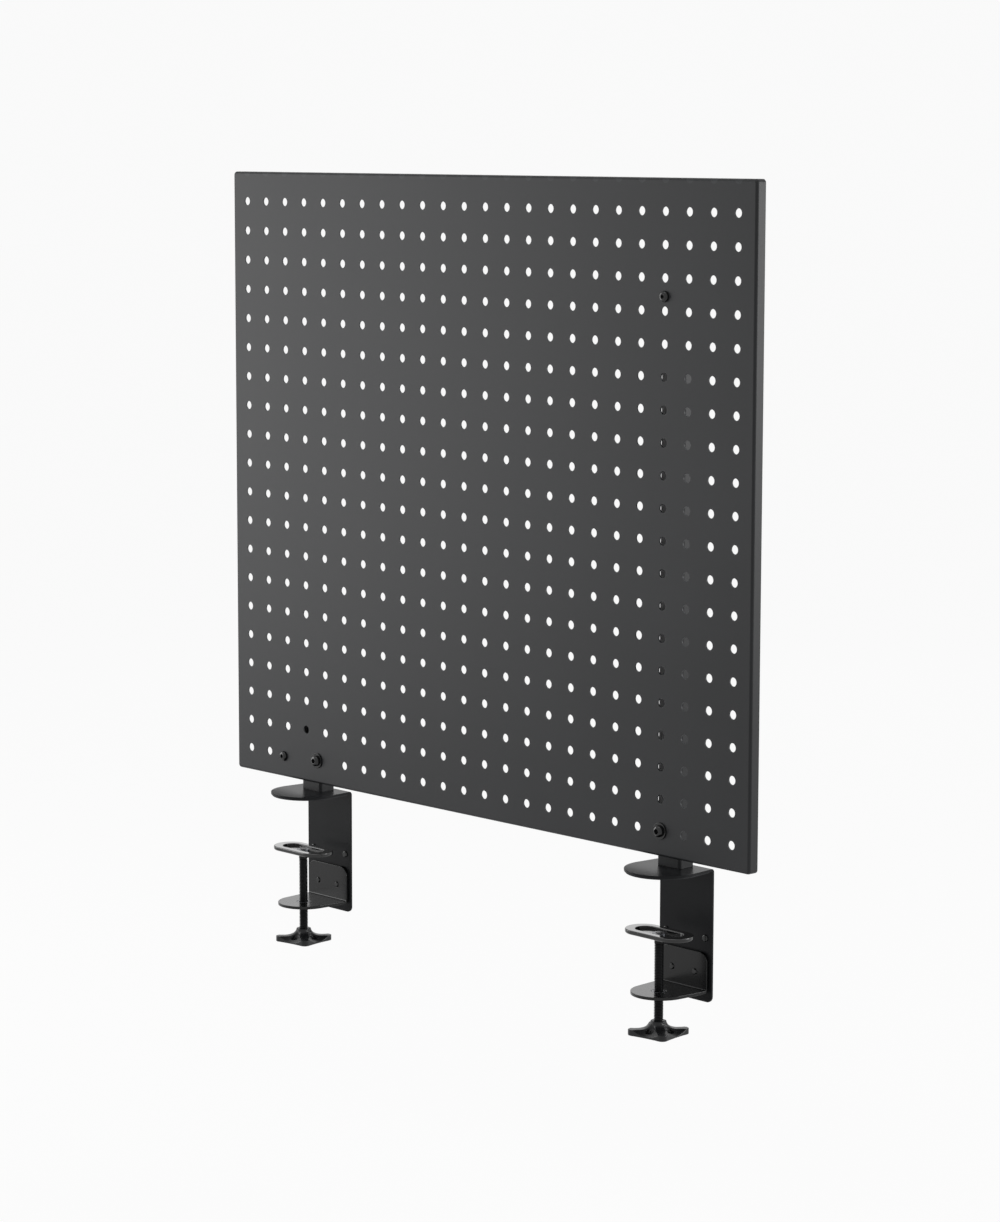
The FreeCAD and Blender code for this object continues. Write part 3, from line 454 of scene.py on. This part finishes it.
def fillFoot(piece, node):
    # the relief cut at the foot is closed again by its weld, in both walls of the channel
    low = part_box(node)[0]

    def inRelief(point):
        return low.y + foot["from"] < point.y < low.y + foot["to"] \
            and point.z < low.z + foot["height"]

    mesh = piece.data
    for face in mesh.polygons:
        face.select = abs(face.normal.x) < 0.5 \
            and all(inRelief(mesh.vertices[i].co) for i in face.vertices)
    bpy.ops.object.mode_set(mode="EDIT")
    bpy.ops.mesh.select_mode(type="FACE")
    bpy.ops.mesh.delete(type="FACE")
    bpy.ops.mesh.select_mode(type="VERT")
    bpy.ops.object.mode_set(mode="OBJECT")
    for point in mesh.vertices:
        point.select = inRelief(point.co) and point.co.z > low.z + foot["height"] / 2
    bpy.ops.object.mode_set(mode="EDIT")
    bpy.ops.mesh.dissolve_verts()
    bpy.ops.mesh.select_all(action="SELECT")
    bpy.ops.mesh.fill_holes(sides=4)
    bpy.ops.mesh.select_all(action="SELECT")
    bpy.ops.mesh.dissolve_limited(angle_limit=edgeLook["flatWithin"])
    bpy.ops.object.mode_set(mode="OBJECT")


for node in sorted(nodes):
    width = [edges[ending] for ending in edges if node.endswith(ending)]
    if width:
        edged = copyNode(node, "Edged")
        if node.endswith("pressure_plate"):
            rollMouth(edged, node)
        if node.endswith("upright"):
            fillFoot(edged, node)
        bevelSharp(edged, width[0])
        shade(edged)
        settle(edged, node)
print("edges rounded")


def addTurned(name, outline, place, sides):
    # a turned solid: the outline (radius, height) spun about the screw's axis
    bpy.ops.object.select_all(action="DESELECT")
    bpy.ops.mesh.primitive_circle_add(vertices=sides, radius=outline[0][0], fill_type="NGON",
                                      location=(place[0], place[1], outline[0][1]))
    piece = bpy.context.object
    piece.name = name
    bpy.ops.object.mode_set(mode="EDIT")
    bpy.ops.mesh.select_mode(type="FACE")
    for (radius, height), (newRadius, newHeight) in zip(outline, outline[1:]):
        bpy.ops.mesh.extrude_region_move(
            TRANSFORM_OT_translate={"value": (0, 0, newHeight - height)})
        if newRadius != radius:
            bpy.ops.transform.resize(value=(newRadius / radius, newRadius / radius, 1),
                                     center_override=(place[0], place[1], newHeight))
    bpy.ops.mesh.select_all(action="SELECT")
    bpy.ops.mesh.normals_make_consistent(inside=False)
    bpy.ops.object.mode_set(mode="OBJECT")
    keepPlace(piece)
    return piece


clampThread = {"pitch": 0.00125, "depth": 0.00062, "flat": 0.16, "steps": 28, "sides": 40,
               "merge": 0.000001, "smoothTo": math.radians(28)}
shank = {"collar": 0.0035, "runOut": 0.0008, "slimmer": 0.0001, "gap": 0.0001,
         "chamfer": 0.0003, "step": 0.00002, "tipChamfer": 0.0005, "intoKnob": 0.004,
         "journalShare": 3 / 11}     # the journal's radius over the clip's width


def addThread(name, radius, low, high, place):
    # one pitch of the groove's section, wound upward round the core
    pitch, flat = clampThread["pitch"], clampThread["flat"]
    core = radius - clampThread["depth"]
    section = [(core, 0.0), (core, flat * pitch), (radius, (0.5 - flat / 2) * pitch),
               (radius, (0.5 + flat / 2) * pitch), (core, (1 - flat) * pitch), (core, pitch)]
    bpy.ops.object.select_all(action="DESELECT")
    bpy.ops.mesh.primitive_plane_add(size=0.001)
    piece = bpy.context.object
    piece.name = name
    bpy.ops.object.mode_set(mode="EDIT")
    bpy.ops.mesh.select_mode(type="VERT")
    bpy.ops.mesh.merge(type="CENTER")     # one point, drawn on from here
    bpy.ops.transform.translate(value=(section[0][0], 0, section[0][1]))
    for (radius0, height0), (radius1, height1) in zip(section, section[1:]):
        bpy.ops.mesh.extrude_region_move(
            TRANSFORM_OT_translate={"value": (radius1 - radius0, 0, height1 - height0)})
    bpy.ops.object.mode_set(mode="OBJECT")
    applyModifier(piece, "SCREW", {
        "axis": "Z", "angle": 2 * math.pi, "screw_offset": pitch,
        "iterations": int((high - low) / pitch) - 1,
        "steps": clampThread["steps"], "render_steps": clampThread["steps"],
        "use_merge_vertices": True, "merge_threshold": clampThread["merge"]})
    piece.location = (place[0], place[1], low)
    bpy.ops.object.mode_set(mode="EDIT")
    bpy.ops.mesh.select_all(action="SELECT")
    bpy.ops.mesh.remove_doubles(threshold=clampThread["merge"])
    bpy.ops.mesh.fill_holes(sides=0)
    bpy.ops.mesh.select_all(action="SELECT")
    bpy.ops.mesh.normals_make_consistent(inside=False)
    bpy.ops.object.mode_set(mode="OBJECT")
    keepPlace(piece)
    return piece


def makeClampScrew(side):
    node = side + "_clamp_screw"
    low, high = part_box(node)
    clipLow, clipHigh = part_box(side + "_retaining_clip")
    place = ((low.x + high.x) / 2, (low.y + high.y) / 2)
    radius = (high.x - low.x) / 2
    core = radius - clampThread["depth"]
    journal = (clipHigh.x - clipLow.x) * shank["journalShare"]
    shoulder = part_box(side + "_thrust_washer")[0].z - shank["gap"]
    threadTop = shoulder - shank["collar"]
    rod = addTurned(pieceName(node, "Shank"), [
        (core - shank["slimmer"], low.z),
        (core - shank["slimmer"], threadTop - shank["runOut"]),
        (core, threadTop - shank["runOut"]),
        (radius, threadTop),
        (radius, shoulder - shank["chamfer"]),
        (radius - shank["chamfer"], shoulder),
        (journal, shoulder + shank["step"]),
        (journal, high.z - shank["tipChamfer"]),
        (journal - shank["tipChamfer"], high.z)], place, clampThread["sides"])
    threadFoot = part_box(side + "_screw_knob")[1].z - shank["intoKnob"]
    thread = addThread(pieceName(node, "Thread"), radius, threadFoot, threadTop, place)
    pick(rod)
    thread.select_set(True)
    bpy.ops.object.join()
    rod.name = pieceName(node, "Threaded")
    bpy.ops.object.shade_smooth_by_angle(angle=clampThread["smoothTo"])
    settle(rod, node)


for side in ("left", "right"):
    makeClampScrew(side)
print("clamp screws threaded")

knob = {
    "rim": 0.0048, "armFlat": 0.0155, "under": 0.0020,
    "hub": 0.0063, "hubTop": 0.0114, "hubFoot": 0.0020, "hubCurve": 0.0043,
    "collar": 0.0085, "collarTop": 0.0042,
    "steps": 9, "sides": 72, "gap": 0.0001, "turn": math.radians(8),
    "scoop": 0.0230, "scoopOut": 0.0243, "scoopUp": 0.0232, "scoopSides": 64, "scoopRings": 48,
    "grain": 0.00034, "softer": 7, "kept": 0.22,     # the mould's soft edges
}


def flare(outer, foot, rise):
    # a trumpet's outline: level at the outer radius, upright where it meets the hub
    turns = [math.pi / 2 * step / knob["steps"] for step in range(knob["steps"] + 1)]
    return [(outer - (outer - knob["hub"]) * math.sin(turn), foot + rise * (1 - math.cos(turn)))
            for turn in turns]


def makeKnob(side):
    # the arms run flat to near the hub, then turn up along it, and the flanks are
    # scooped between them
    node = side + "_screw_knob"
    low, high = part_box(node)
    place = ((low.x + high.x) / 2, (low.y + high.y) / 2)
    reach = (high - low).length
    rim = low.z + knob["rim"]
    envelope = addTurned(
        "knobEnvelope", [(reach, low.z - knob["under"]), (reach, rim)]
        + flare(knob["armFlat"], rim + knob["gap"], knob["hubTop"] - knob["rim"]),
        place, knob["sides"])
    piece = copyNode(node, "Swept")
    combine(piece, "INTERSECT", envelope)
    for quarter in range(4):
        turn = knob["turn"] + quarter * math.pi / 2
        bpy.ops.object.select_all(action="DESELECT")
        bpy.ops.mesh.primitive_uv_sphere_add(
            segments=knob["scoopSides"], ring_count=knob["scoopRings"], radius=knob["scoop"],
            location=(place[0] + knob["scoopOut"] * math.cos(turn),
                      place[1] + knob["scoopOut"] * math.sin(turn), low.z + knob["scoopUp"]))
        combine(piece, "DIFFERENCE", bpy.context.object)
    hub = addTurned(
        "knobHub", [(knob["collar"], low.z + knob["hubFoot"]),
                    (knob["collar"], low.z + knob["collarTop"])]
        + flare(knob["collar"] - knob["gap"], low.z + knob["hubCurve"],
                knob["hubTop"] - knob["hubCurve"]),
        place, knob["sides"])
    combine(piece, "UNION", hub)
    applyModifier(piece, "REMESH", {"mode": "VOXEL", "voxel_size": knob["grain"]})
    applyModifier(piece, "SMOOTH", {"factor": 0.5, "iterations": knob["softer"]})
    applyModifier(piece, "DECIMATE", {"ratio": knob["kept"]})
    pick(piece)
    bpy.ops.object.shade_smooth()
    settle(piece, node)


for side in ("left", "right"):
    makeKnob(side)
print("knobs swept")

stage = {"floorDrop": 0.16, "floorSize": 40.0, "floorTone": 0.80, "white": 0.93,
         "ambient": 0.40, "backdrop": 0.953}


def seenDirectly(wire):
    # 1 for rays that should meet plain white: the camera's, and those of gloss and glass
    camera, glossy, through = [
        wire.node("ShaderNodeLightPath", output=ray)
        for ray in ("Is Camera Ray", "Is Glossy Ray", "Is Transmission Ray")]
    return wire.maths("MINIMUM", camera + glossy + through, 1.0)


def emptyTree(owner):
    owner.use_nodes = True
    owner.node_tree.nodes.clear()
    return Wire(owner.node_tree)


def toSurface(wire, kind):
    wire.tree.links.new(wire.socket, wire.tree.nodes.new(kind).inputs["Surface"])


def makeFloor():
    bpy.ops.object.select_all(action="DESELECT")
    low = cadBox[0][2] - stage["floorDrop"]
    bpy.ops.mesh.primitive_plane_add(size=stage["floorSize"], location=(0, 0, low))
    floor = bpy.context.object
    floor.name = "studioFloor"
    material = bpy.data.materials.new("paleFloor")
    wire = emptyTree(material)
    matt = wire.node("ShaderNodeBsdfDiffuse", None, {"Color": grey(stage["floorTone"])})
    plain = wire.node("ShaderNodeEmission", None, {"Color": grey(1.0), "Strength": 1.0})
    both = wire.node("ShaderNodeMixShader", None,
                     {0: seenDirectly(wire) * stage["white"], 1: matt, 2: plain})
    toSurface(both, "ShaderNodeOutputMaterial")
    floor.data.materials.append(material)


def makeWorld():
    world = bpy.data.worlds.new("studioWorld")
    bpy.context.scene.world = world
    wire = emptyTree(world)
    around = wire.node("ShaderNodeBackground", None,
                       {"Color": grey(1.0), "Strength": stage["ambient"]})
    plain = wire.node("ShaderNodeBackground", None,
                      {"Color": grey(1.0), "Strength": stage["backdrop"]})
    both = wire.node("ShaderNodeMixShader", None, {0: seenDirectly(wire), 1: around, 2: plain})
    toSurface(both, "ShaderNodeOutputWorld")


lamps = {
    "leftSoftbox": {"place": (-1.55, -0.95, 0.38), "target": (-0.25, 0, 0.15),
                    "size": (0.9, 1.2), "power": 13.0},
    "topSoftbox": {"place": (0, -1.0, 2.4), "target": (0, 0, 0.2),
                   "size": (1.6, 1.6), "power": 7.0},
    "rimSoftbox": {"place": (1.75, 1.35, 0.60), "target": (0.3, 0, 0.35),
                   "size": (0.7, 1.1), "power": 26.0},
    "backSoftbox": {"place": (-1.9, 2.1, 0.75), "target": (0, 0, 0),
                    "size": (1.4, 1.1), "power": 2.0},
}


def makeLamp(name, settings):
    data = bpy.data.lights.new(name, "AREA")
    data.shape = "RECTANGLE"
    data.size, data.size_y = settings["size"]
    data.energy = settings["power"]
    lamp = bpy.data.objects.new(name, data)
    bpy.context.scene.collection.objects.link(lamp)
    lamp.location = settings["place"]
    aim = Vector(settings["target"]) - Vector(settings["place"])
    lamp.rotation_euler = aim.to_track_quat("-Z", "Y").to_euler()


view = {"place": (2.0750, -1.9389, 0.5731), "lens": 101.88, "nearest": 0.01,
        "right": (0.6824, 0.7310, 0.0022), "up": (-0.1010, 0.0914, 0.9907),
        "back": (0.7240, -0.6763, 0.1362)}


def makeCamera():
    camera = bpy.data.objects.new("camera", bpy.data.cameras.new("camera"))
    camera.data.lens = view["lens"]
    camera.data.clip_start = view["nearest"]
    turn = Matrix((view["right"], view["up"], view["back"])).transposed()
    camera.matrix_world = Matrix.Translation(view["place"]) @ turn.to_4x4()
    bpy.context.scene.collection.objects.link(camera)
    bpy.context.scene.camera = camera


makeFloor()
makeWorld()
for name in lamps:
    makeLamp(name, lamps[name])
makeCamera()
bpy.context.scene.view_settings.view_transform = "Standard"
print("stage set")
